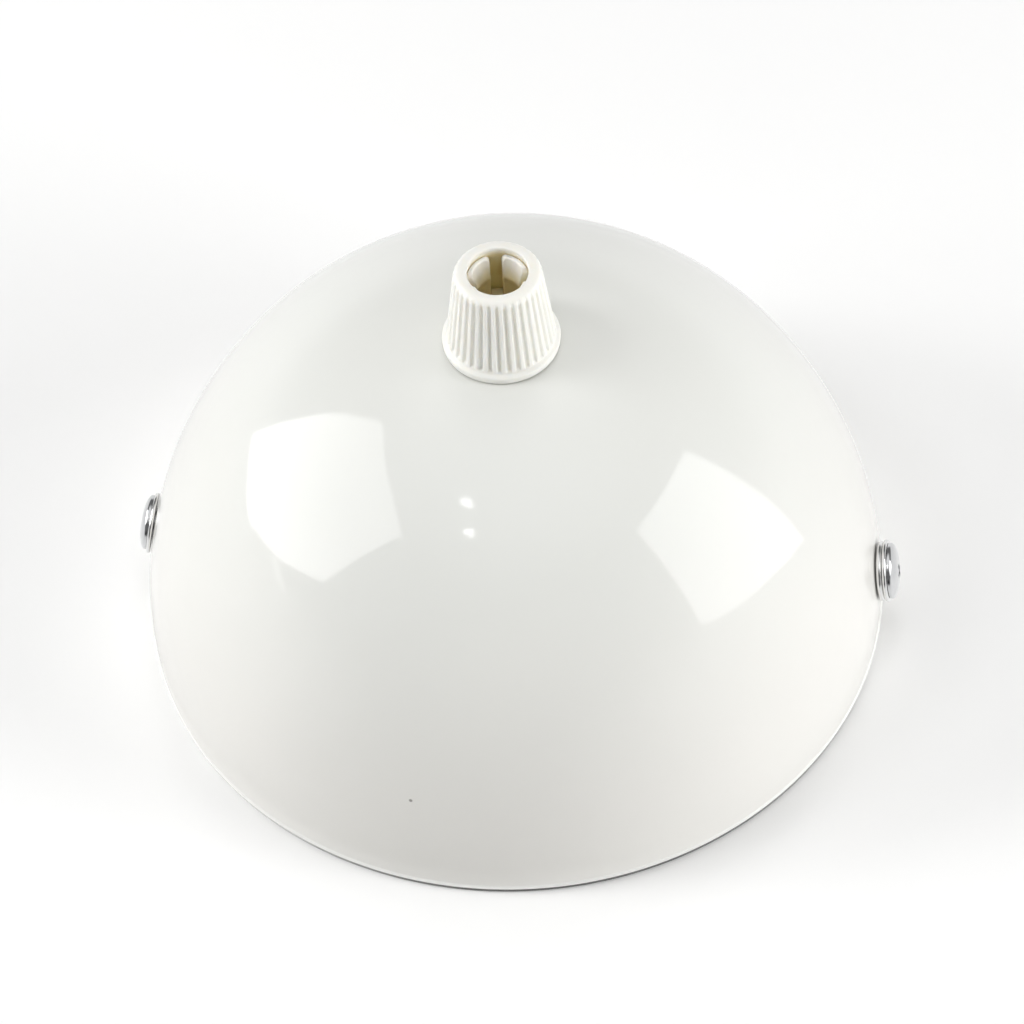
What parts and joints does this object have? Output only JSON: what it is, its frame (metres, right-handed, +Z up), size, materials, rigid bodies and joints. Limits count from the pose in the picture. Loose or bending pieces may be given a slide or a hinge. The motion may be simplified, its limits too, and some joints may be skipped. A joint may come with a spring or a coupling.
{
  "type": "light fixture ceiling canopy",
  "caption": "Hemispherical white steel ceiling canopy with a ribbed cord grip on its crown, side fixing screws and a strap bracket with an earth screw inside.",
  "frame": {"origin": "centre of the rim plane, on the dome's axis", "axes": "+Z up through the cord grip, away from the ceiling; +X through the right side screw, the side with the second washer"},
  "size_m": [0.1042, 0.1, 0.0645],
  "materials": {
    "white_enamel": "glossy white enamel on pressed steel",
    "ivory_plastic": "moulded, slightly translucent, satin",
    "zinc_plate": "bright zinc plated",
    "nickel_plate": "nickel plated",
    "chrome_plate": "polished chrome plate",
    "yellow_brass": "bright brass"
  },
  "bodies": {
    "canopy": {"canopy_shell": "white_enamel", "grip_stem": "ivory_plastic", "stem_washer": "zinc_plate", "stem_locknut": "zinc_plate", "mounting_bracket": "zinc_plate", "right_spacer_washer": "nickel_plate"},
    "cap": {"grip_cap": "ivory_plastic"},
    "left_travel": {"left_washer": "nickel_plate"},
    "left_turn": {"left_screw": "chrome_plate"},
    "right_travel": {"right_washer": "nickel_plate"},
    "right_turn": {"right_screw": "chrome_plate"},
    "earth_travel": {"earth_washer": "yellow_brass"},
    "earth_turn": {"earth_screw": "yellow_brass"}
  },
  "joints": [
    {"name": "cap_turn", "type": "hinge", "parent": "canopy", "child": "cap", "pos_m": [0, 0, 0.0515], "axis": [0, 0, 1], "range_deg": [0, 1800]},
    {"name": "left_screw_travel", "type": "slide", "parent": "canopy", "child": "left_travel", "axis": [-0.9872, 0, 0.1592], "range_m": [0, 0.0028]},
    {"name": "left_screw_turn", "type": "hinge", "parent": "left_travel", "child": "left_turn", "pos_m": [-0.04931, 0, 0.0086], "axis": [-0.9872, 0, 0.1592], "range_deg": [0, 1440]},
    {"name": "right_screw_travel", "type": "slide", "parent": "canopy", "child": "right_travel", "axis": [0.9872, 0, 0.1592], "range_m": [0, 0.0028]},
    {"name": "right_screw_turn", "type": "hinge", "parent": "right_travel", "child": "right_turn", "pos_m": [0.04931, 0, 0.0086], "axis": [0.9872, 0, 0.1592], "range_deg": [0, 1440]},
    {"name": "earth_screw_travel", "type": "slide", "parent": "canopy", "child": "earth_travel", "axis": [0, 0, 1], "range_m": [0, 0.0021]},
    {"name": "earth_screw_turn", "type": "hinge", "parent": "earth_travel", "child": "earth_turn", "pos_m": [-0.0345, 0, 0.0032], "axis": [0, 0, 1], "range_deg": [0, 1080]}
  ],
  "couplings": [
    {"joint": "left_screw_turn", "follows": "left_screw_travel", "rad_per_m": 8975.9},
    {"joint": "right_screw_turn", "follows": "right_screw_travel", "rad_per_m": 8975.9},
    {"joint": "earth_screw_turn", "follows": "earth_screw_travel", "rad_per_m": 8975.9}
  ]
}
